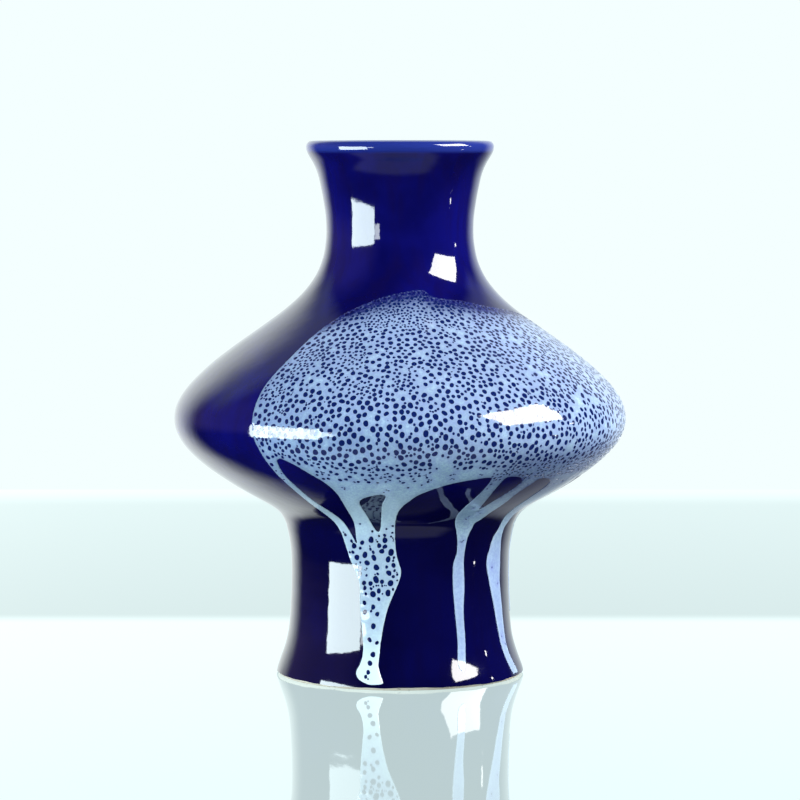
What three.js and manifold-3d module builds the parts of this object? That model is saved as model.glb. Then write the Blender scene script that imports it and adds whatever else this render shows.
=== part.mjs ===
// A glazed stoneware pedestal vase, thrown in four sections that are luted together: a pedestal with
// a turned foot ring, a lower bowl, a shoulder and a flared neck. Glaze lies on the fired clay as
// three coats: a liner inside, a cobalt coat outside, and a white one poured over the front that has
// run down to the foot. Millimetres, +Z up, with the origin at the centre of the foot ring's base.
import * as THREE from 'three';
import { mergeVertices } from 'three/addons/utils/BufferGeometryUtils.js';
import Module from 'manifold-3d';

const wasm = await Module();
wasm.setup();

// Driving dimensions.
const HEIGHT = 200;
const WALL = 4.5;
const GLAZE = 0.5;
const POUR = 0.5;
const BOND_GAP = 0.05;
const SEGMENTS = 32;

// The foot: a bare clay ring with a shallow recess inside it.
const FOOT_INNER_RADIUS = 34;
const FOOT_OUTER_RADIUS = 45.2;
const FOOT_CHAMFER = 0.8;
const FOOT_RECESS = 3;
const RECESS_DRAFT = 1.5;
const GLAZE_LINE = 1;

// The inside floor and the fillet that joins it to the wall.
const FLOOR_HEIGHT = 9;
const FLOOR_FILLET = 6;

// The lip is a half round, and the two coats meet on its crest.
const LIP_RADIUS = 2.35;
const LIP_HEIGHT = HEIGHT - LIP_RADIUS;
const CREST_HALF_GAP = THREE.MathUtils.degToRad(2);
const LIP_STEPS = 4;

// Seams between the thrown sections: the lower one has a tongue inside the upper one's rebate.
const WAIST_SEAM = 57;
const EQUATOR_SEAM = 97;
const NECK_SEAM = 152;
const TONGUE = 2.5;

// [height, radius] of the finished outside. The outline has a sharp crease at the waist.
const PEDESTAL_OUTLINE = [
  [0, 46.9], [4, 45.9], [8, 44.1], [16, 42.3], [28, 41.2], [40, 41.0], [50, 41.6], [57, 43.1],
];
const BOWL_OUTLINE = [
  [57, 43.1], [60, 44.6], [62.5, 46.9], [66, 52.7], [72, 62.7], [78, 71.7], [85, 79.6], [91, 83.6],
  [97, 84.7], [103, 83.1], [110, 78.0], [118, 69.3], [127, 57.3], [135, 45.9], [141, 38.7],
  [148, 32.7], [156, 29.0], [166, 27.7], [176, 28.3], [186, 30.6], [193, 33.1], [200, 36.2],
];

// Heights at which the walls are sampled between the seams.
const PEDESTAL_HEIGHTS = [6, 12, 24, 40, 50];
const LOWER_BOWL_HEIGHTS = [60.5, 63.5, 67, 76, 85, 91];
const SHOULDER_HEIGHTS = [103, 110, 121, 133, 143];
const NECK_HEIGHTS = [160, 170, 182, 192];

// The poured coat in [azimuth, height]: azimuth in degrees, 0 at the front and positive to the right.
const POUR_PATCH = [
  [-37, 135], [-25, 139], [-13, 142.5], [0, 145], [12, 145.5], [20, 143.5], [30, 141.5], [42, 140.5],
  [53, 139], [72, 136.5], [88, 133], [98, 124], [102, 110], [100, 97], [96, 84], [92, 79], [82, 77.5],
  [66, 77], [52, 77.5], [45, 79], [37, 80.5], [31, 80], [26, 80.5], [20, 79.5], [12, 77.6], [5, 75],
  [-10, 76], [-20, 76], [-26, 83], [-32, 87], [-37, 89], [-38.2, 95], [-38.8, 101], [-39.5, 107],
  [-39.4, 120], [-38.3, 128],
];

// Runs of the poured coat, from the top down: [height, left azimuth, right azimuth].
const POUR_RUNS = {
  left: [
    [90, -38, -33.5], [80, -36.5, -31.5], [74, -34.5, -29], [66, -32.5, -28], [60, -31.5, -27],
    [54, -29.5, -24], [48, -27.5, -21], [42, -25.5, -18],
  ],
  main: [
    [84, -24, 12], [76, -20.5, 8], [70, -20.5, 1.8], [66, -20.5, -1], [60, -21.3, -2.3],
    [54, -22.5, -2], [48, -24.5, -0.5], [43, -24, 0.5], [38, -21.2, -1.5], [30, -21, -5.5],
    [24, -20.2, -8], [15, -18.7, -9.8], [9, -19, -10.4], [5, -20.5, -9.5], [2.3, -17, -8.5],
  ],
  inner: [
    [83, 26, 31.5], [76, 26.3, 31], [71, 26.9, 33], [66, 26.8, 36.5], [61, 26.6, 37.3],
    [56, 29.4, 36.8], [50, 30.3, 34.8], [42, 28.3, 35], [30, 29, 34.8], [16, 30.3, 34.8],
    [9, 29.3, 33.6], [6.5, 30.5, 32.8],
  ],
  branch: [[83, 37, 43.5], [75, 36.8, 43], [71, 34.5, 42.6], [66, 32.5, 40], [60, 30, 37]],
  outer: [
    [80, 53, 63], [72, 53, 64], [66, 54, 65], [60, 56, 64], [56, 54, 62.5], [48, 51.5, 64],
    [43, 50.8, 64.8], [37, 53.3, 64.8], [28, 57.3, 66.6], [18, 60.8, 68], [9, 62.7, 68.5], [2.4, 65, 71.5],
  ],
  side: [[80, 80, 93], [66, 83, 91], [56, 84, 90], [40, 85, 90], [26, 85.5, 89.5], [22, 86.5, 88.5]],
};

// The pour's outline is cut through the coat by radial blocks between these two radii.
const CUTTER_INNER_RADIUS = 10;
const CUTTER_OUTER_RADIUS = 400;

const CLAY_COLOUR = 0xcbb89c;
const LINER_COLOUR = 0x20307a;
const COBALT_COLOUR = 0x151f66;
const WHITE_COLOUR = 0xb9c3ea;

// ---- the outline as functions of height ----

function radiusCurve(outline) {
  const heights = outline.map(([height]) => height);
  const radii = outline.map(([, radius]) => radius);
  const curve = new THREE.CubicInterpolant(heights, radii, 1, [0]);
  return (height) => curve.evaluate(height)[0];
}

const pedestalRadius = radiusCurve(PEDESTAL_OUTLINE);
const bowlRadius = radiusCurve(BOWL_OUTLINE);

function finishedRadius(height) {
  return height < WAIST_SEAM ? pedestalRadius(height) : bowlRadius(height);
}

// How much wider a layer is measured level than square to the wall, where the wall leans.
function lean(height) {
  const slope = (finishedRadius(height + 1) - finishedRadius(height - 1)) / 2;
  return Math.hypot(1, slope);
}

// A point of the outside, or of the inside, at a depth below that finished surface.
function outside(height, depth) {
  return new THREE.Vector2(finishedRadius(height) - depth * lean(height), height);
}

function inside(height, depth) {
  return new THREE.Vector2(finishedRadius(height) - (WALL - depth) * lean(height), height);
}

function lipArc(depth, fromAngle, toAngle, steps) {
  const centreRadius = finishedRadius(LIP_HEIGHT) - LIP_RADIUS;
  const radius = LIP_RADIUS - depth;
  return Array.from({ length: steps + 1 }, (_, step) => {
    const angle = THREE.MathUtils.lerp(fromAngle, toAngle, step / steps);
    return new THREE.Vector2(
      centreRadius + radius * Math.cos(angle),
      LIP_HEIGHT + radius * Math.sin(angle),
    );
  });
}

// From the wall down and round to the middle of the floor.
function floorPath(depth) {
  const centreHeight = FLOOR_HEIGHT + FLOOR_FILLET;
  const centreRadius = inside(centreHeight, 0).x - FLOOR_FILLET;
  const radius = FLOOR_FILLET + depth;
  const fillet = [0, 1, 2, 3].map((step) => {
    const angle = (-step * Math.PI) / 6;
    return new THREE.Vector2(
      centreRadius + radius * Math.cos(angle),
      centreHeight + radius * Math.sin(angle),
    );
  });
  return [...fillet, new THREE.Vector2(0, FLOOR_HEIGHT - depth)];
}

// ---- solids of revolution ----

function turned(profile) {
  const geometry = new THREE.LatheGeometry(profile, SEGMENTS);
  geometry.rotateX(Math.PI / 2);
  return geometry;
}

function closed(profile) {
  return [...profile, profile[0].clone()];
}

const CLAY_DEPTH = GLAZE + BOND_GAP;

function outerWall(heights, depth = CLAY_DEPTH) {
  return heights.map((height) => outside(height, depth));
}

function innerWall(heights, depth = CLAY_DEPTH) {
  return [...heights].reverse().map((height) => inside(height, depth));
}

// The stepped joint at a seam, from the outside inwards. Clearance raises and widens the step, for
// the section that sits on the tongue.
function seam(height, clearance = 0) {
  const base = height + clearance;
  const top = base + TONGUE;
  const middle = height + TONGUE / 2;
  const outer = outside(middle, CLAY_DEPTH).x;
  const inner = inside(middle, CLAY_DEPTH).x;
  const stepRadius = (outer + inner) / 2 + clearance;
  return [
    outside(base, CLAY_DEPTH),
    new THREE.Vector2(stepRadius, base),
    new THREE.Vector2(stepRadius, top),
    inside(top, CLAY_DEPTH),
  ];
}

function seamFromBelow(height) {
  return seam(height, BOND_GAP).reverse();
}

function clayPedestal() {
  return turned([
    new THREE.Vector2(0, FOOT_RECESS),
    new THREE.Vector2(FOOT_INNER_RADIUS - RECESS_DRAFT, FOOT_RECESS),
    new THREE.Vector2(FOOT_INNER_RADIUS, 0),
    new THREE.Vector2(FOOT_OUTER_RADIUS, 0),
    new THREE.Vector2(FOOT_OUTER_RADIUS + FOOT_CHAMFER, FOOT_CHAMFER),
    ...outerWall([GLAZE_LINE, ...PEDESTAL_HEIGHTS]),
    ...seam(WAIST_SEAM),
    ...innerWall(PEDESTAL_HEIGHTS.filter((height) => height > FLOOR_HEIGHT + FLOOR_FILLET)),
    ...floorPath(CLAY_DEPTH),
  ]);
}

function clayBetween(lowerSeam, heights, upperSeam) {
  return turned(closed([
    ...seamFromBelow(lowerSeam),
    ...outerWall(heights),
    ...seam(upperSeam),
    ...innerWall(heights),
  ]));
}

function clayNeck() {
  return turned(closed([
    ...seamFromBelow(NECK_SEAM),
    ...outerWall(NECK_HEIGHTS),
    ...lipArc(CLAY_DEPTH, 0, Math.PI, 2 * LIP_STEPS),
    ...innerWall(NECK_HEIGHTS),
  ]));
}

// All the heights at which a coat bends with the clay: the step raises each seam's inner edge.
function wallHeights(seamRise) {
  return [
    ...PEDESTAL_HEIGHTS,
    WAIST_SEAM + seamRise,
    ...LOWER_BOWL_HEIGHTS,
    EQUATOR_SEAM + seamRise,
    ...SHOULDER_HEIGHTS,
    NECK_SEAM + seamRise,
    ...NECK_HEIGHTS,
  ];
}

function blueGlaze() {
  const heights = [GLAZE_LINE, ...wallHeights(0)];
  const crest = Math.PI / 2 - CREST_HALF_GAP;
  return turned(closed([
    ...outerWall(heights, 0),
    ...lipArc(0, 0, crest, LIP_STEPS),
    ...lipArc(GLAZE, crest, 0, LIP_STEPS),
    ...outerWall(heights, GLAZE).reverse(),
  ]));
}

function linerGlaze() {
  const heights = wallHeights(TONGUE).filter((height) => height > FLOOR_HEIGHT + FLOOR_FILLET);
  const crest = Math.PI / 2 + CREST_HALF_GAP;
  return turned([
    ...floorPath(GLAZE).reverse(),
    ...innerWall(heights, GLAZE).reverse(),
    ...lipArc(GLAZE, Math.PI, crest, LIP_STEPS),
    ...lipArc(0, crest, Math.PI, LIP_STEPS),
    ...innerWall(heights, 0),
    ...floorPath(0),
  ]);
}

// ---- the poured coat ----

function toSolid(geometry) {
  const bare = new THREE.BufferGeometry();
  bare.setAttribute('position', geometry.attributes.position);
  bare.setIndex(geometry.index);
  const merged = mergeVertices(bare, 1e-5);
  return new wasm.Manifold(new wasm.Mesh({
    numProp: 3,
    vertProperties: new Float32Array(merged.attributes.position.array),
    triVerts: new Uint32Array(merged.index.array),
  }));
}

function toGeometry(solid) {
  const mesh = solid.getMesh();
  const geometry = new THREE.BufferGeometry();
  geometry.setAttribute('position', new THREE.BufferAttribute(mesh.vertProperties, 3));
  geometry.setIndex(new THREE.BufferAttribute(mesh.triVerts, 1));
  geometry.computeVertexNormals();
  return geometry;
}

// A block that fills an [azimuth, height] outline from near the axis to well outside the vase.
function radialBlock(outline) {
  const shape = new THREE.Shape(outline.map(([azimuth, height]) => new THREE.Vector2(azimuth, height)));
  const block = new THREE.ExtrudeGeometry(shape, { depth: 1, bevelEnabled: false });
  const position = block.attributes.position;
  for (let i = 0; i < position.count; i += 1) {
    const azimuth = THREE.MathUtils.degToRad(position.getX(i));
    const radius = position.getZ(i) < 0.5 ? CUTTER_INNER_RADIUS : CUTTER_OUTER_RADIUS;
    position.setXYZ(i, radius * Math.sin(azimuth), -radius * Math.cos(azimuth), position.getY(i));
  }
  return toSolid(block);
}

function runOutline(rows) {
  const left = rows.map(([height, leftAzimuth]) => [leftAzimuth, height]);
  const right = rows.map(([height, , rightAzimuth]) => [rightAzimuth, height]);
  return [...left, ...right.reverse()];
}

function whiteGlaze() {
  const heights = [GLAZE_LINE, ...wallHeights(0).filter((height) => height <= NECK_SEAM)];
  const coat = toSolid(turned(closed([
    ...outerWall(heights, -BOND_GAP - POUR),
    ...outerWall(heights, -BOND_GAP).reverse(),
  ])));
  const patch = radialBlock(POUR_PATCH);
  const runs = Object.values(POUR_RUNS).map((rows) => radialBlock(runOutline(rows)));
  const outline = runs.reduce((joined, run) => joined.add(run), patch);
  return toGeometry(coat.intersect(outline));
}

// ---- the assembly ----

function piece(name, geometry, color, roughness) {
  const material = new THREE.MeshStandardMaterial({ color, roughness, metalness: 0 });
  const mesh = new THREE.Mesh(geometry, material);
  mesh.name = name;
  return mesh;
}

const body = new THREE.Group();
body.add(
  piece('clay_pedestal', clayPedestal(), CLAY_COLOUR, 0.85),
  piece('clay_lower_bowl', clayBetween(WAIST_SEAM, LOWER_BOWL_HEIGHTS, EQUATOR_SEAM), CLAY_COLOUR, 0.85),
  piece('clay_shoulder', clayBetween(EQUATOR_SEAM, SHOULDER_HEIGHTS, NECK_SEAM), CLAY_COLOUR, 0.85),
  piece('clay_neck', clayNeck(), CLAY_COLOUR, 0.85),
);

const coats = new THREE.Group();
coats.add(
  piece('liner_glaze', linerGlaze(), LINER_COLOUR, 0.15),
  piece('blue_glaze', blueGlaze(), COBALT_COLOUR, 0.12),
  piece('white_glaze', whiteGlaze(), WHITE_COLOUR, 0.15),
);

const vase = new THREE.Group();
vase.add(body, coats);

export default vase;
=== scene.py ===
"""The looks of a glazed stoneware pedestal vase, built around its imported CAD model.

Every coat and clay section of the CAD model is made again as a fine solid. The outlines are read
from the CAD meshes, and the poured white coat is meshed on the cobalt one with its craters cut out.
"""

import math

import bpy
import numpy as np
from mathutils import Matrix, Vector, noise
from mathutils.geometry import delaunay_2d_cdt
from mathutils.kdtree import KDTree

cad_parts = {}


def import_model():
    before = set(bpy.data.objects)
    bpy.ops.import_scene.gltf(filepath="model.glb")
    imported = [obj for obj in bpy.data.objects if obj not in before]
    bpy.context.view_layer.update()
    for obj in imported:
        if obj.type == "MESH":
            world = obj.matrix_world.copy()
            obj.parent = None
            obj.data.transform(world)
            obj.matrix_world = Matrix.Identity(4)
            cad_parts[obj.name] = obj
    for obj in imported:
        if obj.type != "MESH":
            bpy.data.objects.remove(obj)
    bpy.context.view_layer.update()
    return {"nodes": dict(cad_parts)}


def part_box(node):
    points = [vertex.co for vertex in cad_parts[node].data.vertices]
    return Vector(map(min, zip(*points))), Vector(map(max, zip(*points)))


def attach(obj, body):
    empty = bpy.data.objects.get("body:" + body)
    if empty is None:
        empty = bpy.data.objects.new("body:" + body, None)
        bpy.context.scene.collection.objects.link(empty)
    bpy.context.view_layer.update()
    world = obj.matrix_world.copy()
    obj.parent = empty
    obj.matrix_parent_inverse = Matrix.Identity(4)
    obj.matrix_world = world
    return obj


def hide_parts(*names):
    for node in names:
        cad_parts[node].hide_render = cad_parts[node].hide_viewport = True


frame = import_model()

MM = 0.001
TURN = 2 * math.pi

# ---- places that the CAD model gives ----

RIM_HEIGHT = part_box("blue_glaze")[1].z
GLAZE_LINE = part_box("blue_glaze")[0].z
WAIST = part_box("clay_lower_bowl")[0].z

# ---- how finely the turned pieces are made ----

SEGMENTS = 192
LONGEST_STEP = 2.2 * MM
TURN_PER_STEP = math.radians(4)
CORNER_TURN = math.radians(40)
CREASE_REACH = 0.2 * MM
SAME_POINT = 0.01 * MM


# ---- outlines of the CAD's turned pieces ----

def cad_profile(node):
    """The outline of a turned CAD node where it crosses the plane y = 0, as (radius, height) rows.

    It starts at the lowest point, the outermost of them, and goes up the outside. Where the piece
    reaches the axis the outline is open, and starts and ends there.
    """
    mesh = frame["nodes"][node].data
    places = {}
    for vertex in mesh.vertices:
        if abs(vertex.co.y) < SAME_POINT and vertex.co.x > -SAME_POINT:
            cell = (round(vertex.co.x / SAME_POINT), round(vertex.co.z / SAME_POINT))
            places[vertex.index] = (cell, (max(vertex.co.x, 0.0), vertex.co.z))
    point_of = dict(places.values())
    links = {cell: set() for cell in point_of}
    for edge in mesh.edges:
        first, second = edge.vertices
        if first in places and second in places:
            a, b = places[first][0], places[second][0]
            if a != b:
                links[a].add(b)
                links[b].add(a)
    ends = [cell for cell, near in links.items() if len(near) == 1]
    if ends:
        start = min(ends, key=lambda cell: cell[1])
        path = [start, next(iter(links[start]))]
    else:
        lowest = min(cell[1] for cell in links)
        start = max(cell for cell in links if cell[1] == lowest)
        path = [start, max(links[start], key=lambda cell: (cell[1] > lowest, cell[0]))]
    while True:
        onward = [cell for cell in links[path[-1]] if cell != path[-2]]
        if not onward or onward[0] == start:
            break
        path.append(onward[0])
    if not ends:
        path.append(start)
    return np.array([point_of[cell] for cell in path])


def spline(knots, values, at):
    """A natural cubic spline through values at knots, read at other places."""
    gaps = np.diff(knots)
    slopes = np.diff(values, axis=0) / gaps[:, None]
    system = np.eye(len(knots))
    right = np.zeros_like(values)
    for i in range(1, len(knots) - 1):
        system[i, i - 1:i + 2] = gaps[i - 1], 2 * (gaps[i - 1] + gaps[i]), gaps[i]
        right[i] = 6 * (slopes[i] - slopes[i - 1])
    bends = np.linalg.solve(system, right)
    span = np.clip(np.searchsorted(knots, at, side="right") - 1, 0, len(knots) - 2)
    done = (at - knots[span])[:, None]
    left = (knots[span + 1] - at)[:, None]
    gap = gaps[span][:, None]
    return (
        (bends[span] * left**3 + bends[span + 1] * done**3) / (6 * gap)
        + (values[span] / gap - bends[span] * gap / 6) * left
        + (values[span + 1] / gap - bends[span + 1] * gap / 6) * done
    )


def turns(points):
    """How far the outline turns at each inner point."""
    headings = np.arctan2(*np.diff(points, axis=0).T[::-1])
    return np.abs((np.diff(headings) + math.pi) % TURN - math.pi)


def fine_profile(points, longest=LONGEST_STEP):
    """The outline made smooth between its corners, with more points where it bends more."""
    turning = np.r_[0, turns(points), 0]
    creased = np.abs(points[:, 1] - WAIST) < CREASE_REACH
    corners = [i for i in range(len(points)) if turning[i] > CORNER_TURN or creased[i]]
    corners = sorted({0, len(points) - 1, *corners})
    pieces = []
    for first, last in zip(corners, corners[1:]):
        stretch = points[first:last + 1]
        bend = turning[first:last + 1].copy()
        bend[[0, -1]] = 0
        knots = np.r_[0, np.cumsum(np.hypot(*np.diff(stretch, axis=0).T))]
        at = []
        for i, gap in enumerate(np.diff(knots)):
            by_length = gap / longest
            by_turn = (bend[i] + bend[i + 1]) / 2 / TURN_PER_STEP
            count = max(1, math.ceil(by_length), math.ceil(by_turn))
            at.extend(knots[i] + gap * np.arange(count) / count)
        pieces.append(spline(knots, stretch, np.array(at)))
    pieces.append(points[-1:])
    return np.concatenate(pieces)


# ---- the thrown surface ----

RING_PITCH = 7.4 * MM
RING_DEPTH = 0.035 * MM
LILT_DEPTH = 0.16 * MM
SHARP_ANGLE = math.radians(35)


def wobble(azimuth, height):
    """How far the thrown wall lies inside its ideal outline: shallow rings and a slow lilt."""
    drift = 0.9 * np.sin(azimuth + 41 * height) + 0.5 * np.sin(2 * azimuth - 95 * height)
    rings = 0.5 + 0.5 * np.sin(TURN * height / RING_PITCH + drift)
    lilt = 0.5 + 0.5 * np.sin(2 * azimuth + 47 * height) * np.cos(azimuth - 23 * height)
    return RING_DEPTH * rings + LILT_DEPTH * lilt


def placed(azimuth, radius, height):
    """Points in space from azimuth (0 at the front, positive to the right), radius and height."""
    return np.stack([radius * np.sin(azimuth), -radius * np.cos(azimuth), height], axis=-1)


def link(made):
    """Puts a new object in the scene."""
    bpy.context.scene.collection.objects.link(made)


def add_object(name, vertices, faces, material, attributes=None):
    """A smooth-shaded mesh object with sharp corners and named values at its vertices."""
    mesh = bpy.data.meshes.new(name)
    mesh.from_pydata(vertices.tolist(), [], faces)
    mesh.validate()
    mesh.polygons.foreach_set("use_smooth", [True] * len(mesh.polygons))
    mesh.set_sharp_from_angle(angle=SHARP_ANGLE)
    for label, values in (attributes or {}).items():
        layer = mesh.attributes.new(label, "FLOAT", "POINT")
        layer.data.foreach_set("value", np.asarray(values, np.float32))
    mesh.materials.append(material)
    mesh.update()
    piece = bpy.data.objects.new(name, mesh)
    link(piece)
    return piece


def turned(name, profile, material, form=None, attributes=None):
    """A solid of revolution. Form changes the radii and heights of the grid of points."""
    azimuths = np.arange(SEGMENTS) * TURN / SEGMENTS
    open_ended = profile[0, 0] < SAME_POINT
    rows = profile[1:-1] if open_ended else profile[:-1]
    radius = np.repeat(rows[:, :1], SEGMENTS, axis=1)
    height = np.repeat(rows[:, 1:], SEGMENTS, axis=1)
    azimuth = np.repeat(azimuths[None], len(rows), axis=0)
    if form:
        radius, height = form(azimuth, radius, height)
    vertices = placed(azimuth, radius, height).reshape(-1, 3)
    faces = []
    row_pairs = len(rows) - 1 if open_ended else len(rows)
    for row in range(row_pairs):
        lower = row * SEGMENTS
        upper = (row + 1) % len(rows) * SEGMENTS
        for column in range(SEGMENTS):
            beside = (column + 1) % SEGMENTS
            faces.append((lower + column, lower + beside, upper + beside, upper + column))
    if open_ended:
        start, end = len(vertices), len(vertices) + 1
        vertices = np.vstack([vertices, (0, 0, profile[0, 1]), (0, 0, profile[-1, 1])])
        last = (len(rows) - 1) * SEGMENTS
        for column in range(SEGMENTS):
            beside = (column + 1) % SEGMENTS
            faces.append((start, beside, column))
            faces.append((last + column, last + beside, end))
    values = {label: rule(vertices) for label, rule in (attributes or {}).items()}
    return add_object(name, vertices, faces, material, values)


# ---- materials ----

def new_material(name, roughness, ior=1.5):
    material = bpy.data.materials.new(name)
    material.use_nodes = True
    shader = material.node_tree.nodes["Principled BSDF"]
    shader.inputs["Roughness"].default_value = roughness
    shader.inputs["IOR"].default_value = ior
    return material, shader


class Nodes:
    """Short ways to add and join the nodes of one material or world."""

    def __init__(self, tree):
        self.tree = tree

    def add(self, kind, **settings):
        node = self.tree.nodes.new(kind)
        for key, value in settings.items():
            setattr(node, key, value)
        return node

    def join(self, source, target):
        self.tree.links.new(source, target)

    def feed(self, socket, value):
        """Gives a socket a link, a colour or a number."""
        if isinstance(value, bpy.types.NodeSocket):
            self.join(value, socket)
        elif isinstance(value, (tuple, list)) and len(value) == 3 and socket.type == "RGBA":
            socket.default_value = (*value, 1)
        else:
            socket.default_value = value

    def position(self):
        """The place on the object, in metres."""
        return self.add("ShaderNodeTexCoord").outputs["Object"]

    def value(self, label):
        """A named value stored at the mesh's vertices."""
        return self.add("ShaderNodeAttribute", attribute_name=label).outputs["Fac"]

    def noise(self, scale, detail=2.0, stretch=(1, 1, 1), distortion=0.0):
        """Smooth noise with that many features per metre, stretched along the axes."""
        mapping = self.add("ShaderNodeMapping")
        mapping.inputs["Scale"].default_value = stretch
        self.join(self.position(), mapping.inputs["Vector"])
        texture = self.add("ShaderNodeTexNoise")
        texture.inputs["Scale"].default_value = scale
        texture.inputs["Detail"].default_value = detail
        texture.inputs["Distortion"].default_value = distortion
        self.join(mapping.outputs["Vector"], texture.inputs["Vector"])
        return texture.outputs["Fac"]

    def ramp(self, value, low, high, start=0.0, end=1.0):
        """The value's way from low to high, turned smoothly into start to end."""
        node = self.add("ShaderNodeMapRange", interpolation_type="SMOOTHSTEP")
        for socket, number in zip(node.inputs[1:5], (low, high, start, end)):
            socket.default_value = number
        self.join(value, node.inputs["Value"])
        return node.outputs["Result"]

    def times(self, first, second):
        node = self.add("ShaderNodeMath", operation="MULTIPLY")
        self.feed(node.inputs[0], first)
        self.feed(node.inputs[1], second)
        return node.outputs[0]

    def mix(self, amount, first, second):
        """The first colour turning into the second by an amount from 0 to 1."""
        node = self.add("ShaderNodeMix", data_type="RGBA")
        self.feed(node.inputs["Factor"], amount)
        self.feed(node.inputs["A"], first)
        self.feed(node.inputs["B"], second)
        return node.outputs["Result"]

    def bump(self, height, distance, under=None):
        """A surface bent by a height, of that depth, over the bump under it."""
        node = self.add("ShaderNodeBump")
        node.inputs["Strength"].default_value = 1.0
        node.inputs["Distance"].default_value = distance
        self.join(height, node.inputs["Height"])
        if under:
            self.join(under, node.inputs["Normal"])
        return node.outputs["Normal"]


COBALT_DEEP = (0.0012, 0.0010, 0.055)
COBALT_BRIGHT = (0.0030, 0.0030, 0.12)
COBALT_DUSKY = (0.0040, 0.0018, 0.035)
COBALT_THIN = (0.016, 0.030, 0.22)
COBALT_FILM = (0.003, 0.006, 0.030)
# painted shade: the cobalt's colour low down, below the belly
COBALT_PAINTED_SHADE = (0.0005, 0.0004, 0.015)
COBALT_BED = (0.0034, 0.0105, 0.080)


def cobalt_material(name):
    """Deep cobalt glass: cloudy tone, streaks that ran down and fine specks.

    The vertex values change it: darker low down below the belly, which is painted shade, paler where
    it is thin, and tinted by white under the pour and where a film of white lies on it.
    """
    material, shader = new_material(name, roughness=0.05, ior=1.52)
    nodes = Nodes(material.node_tree)
    clouds = nodes.ramp(nodes.noise(34, detail=3.0), 0.36, 0.66)
    run_down = nodes.noise(210, detail=3.0, stretch=(1, 1, 0.12), distortion=0.4)
    streaks = nodes.ramp(run_down, 0.38, 0.72)
    colour = nodes.mix(nodes.times(clouds, 0.75), COBALT_DEEP, COBALT_BRIGHT)
    colour = nodes.mix(nodes.times(streaks, 0.45), colour, COBALT_DUSKY)
    specks = nodes.ramp(nodes.noise(900), 0.66, 0.76)
    colour = nodes.mix(nodes.times(specks, 0.35), colour, COBALT_BRIGHT)
    # painted shade: the cobalt made darker below the belly
    colour = nodes.mix(nodes.value("painted_shade"), colour, COBALT_PAINTED_SHADE)
    colour = nodes.mix(nodes.value("bed"), colour, COBALT_BED)
    colour = nodes.mix(nodes.value("thin"), colour, COBALT_THIN)
    colour = nodes.mix(nodes.value("film"), colour, COBALT_FILM)
    nodes.join(colour, shader.inputs["Base Color"])
    slow = nodes.bump(nodes.noise(150), 0.05 * MM)
    fine = nodes.bump(nodes.noise(1400), 0.004 * MM, under=slow)
    nodes.join(fine, shader.inputs["Normal"])
    return material


WHITE_PALE = (0.37, 0.525, 0.66)
WHITE_VIOLET = (0.19, 0.25, 0.49)
WHITE_GREY = (0.20, 0.30, 0.40)
WHITE_GRAIN = (0.155, 0.24, 0.36)
WHITE_FILM = (0.010, 0.014, 0.11)
# paler colour: thick gathered glaze, and a painted light on the main run under the belly
WHITE_GATHERED_AND_PAINTED_LIGHT = (0.66, 0.80, 0.84)


def white_material(name):
    """Opaque pale glaze with a fine mottle: violet by the craters, paler where it gathered, and a
    painted light low on the main run.

    It turns blue where it fades out over the cobalt.
    """
    material, shader = new_material(name, roughness=0.06)
    nodes = Nodes(material.node_tree)
    tone = nodes.ramp(nodes.noise(95, detail=3.0), 0.34, 0.68)
    mottle = nodes.ramp(nodes.noise(950, detail=3.0, distortion=0.5), 0.36, 0.66)
    grain = nodes.ramp(nodes.noise(2300), 0.40, 0.66)
    colour = nodes.mix(nodes.times(tone, 0.5), WHITE_PALE, WHITE_GREY)
    colour = nodes.mix(nodes.times(mottle, 0.55), colour, WHITE_VIOLET)
    colour = nodes.mix(nodes.times(grain, 0.40), colour, WHITE_GRAIN)
    colour = nodes.mix(nodes.value("pitted"), colour, WHITE_VIOLET)
    # painted light on the main run under the belly, together with thick gathered glaze, makes the coat
    # paler
    colour = nodes.mix(nodes.value("gathered_and_painted_light"), colour, WHITE_GATHERED_AND_PAINTED_LIGHT)
    ragged = nodes.ramp(nodes.noise(1300), 0.2, 0.8, start=0.7, end=1.3)
    colour = nodes.mix(nodes.times(nodes.value("fade"), ragged), colour, WHITE_FILM)
    nodes.join(colour, shader.inputs["Base Color"])
    nodes.join(nodes.bump(nodes.noise(260), 0.03 * MM), shader.inputs["Normal"])
    return material


CLAY_BUFF = (0.60, 0.54, 0.45)
CLAY_TOASTED = (0.46, 0.35, 0.24)
CLAY_SAND = (0.72, 0.67, 0.58)
CLAY_SPECK = (0.09, 0.06, 0.04)


def clay_material(name):
    """Bare fired stoneware: sandy buff, toasted in clouds, with iron specks and grog."""
    material, shader = new_material(name, roughness=0.82)
    nodes = Nodes(material.node_tree)
    toast = nodes.ramp(nodes.noise(60, detail=4.0), 0.42, 0.70)
    grain = nodes.ramp(nodes.noise(2400, detail=3.0), 0.30, 0.70)
    colour = nodes.mix(nodes.times(toast, 0.55), CLAY_BUFF, CLAY_TOASTED)
    colour = nodes.mix(nodes.times(grain, 0.25), colour, CLAY_SAND)
    specks = nodes.ramp(nodes.noise(1100, detail=1.0), 0.70, 0.75)
    colour = nodes.mix(specks, colour, CLAY_SPECK)
    nodes.join(colour, shader.inputs["Base Color"])
    turning = nodes.bump(nodes.noise(700, stretch=(0.15, 0.15, 1)), 0.06 * MM)
    nodes.join(nodes.bump(grain, 0.03 * MM, under=turning), shader.inputs["Normal"])
    return material


cobalt = cobalt_material("cobalt_glass")
liner = cobalt_material("liner_glass")
white = white_material("poured_white_glass")
clay = clay_material("bare_stoneware")

# ---- the cobalt coat and the wall that it gives to the pour ----

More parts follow.
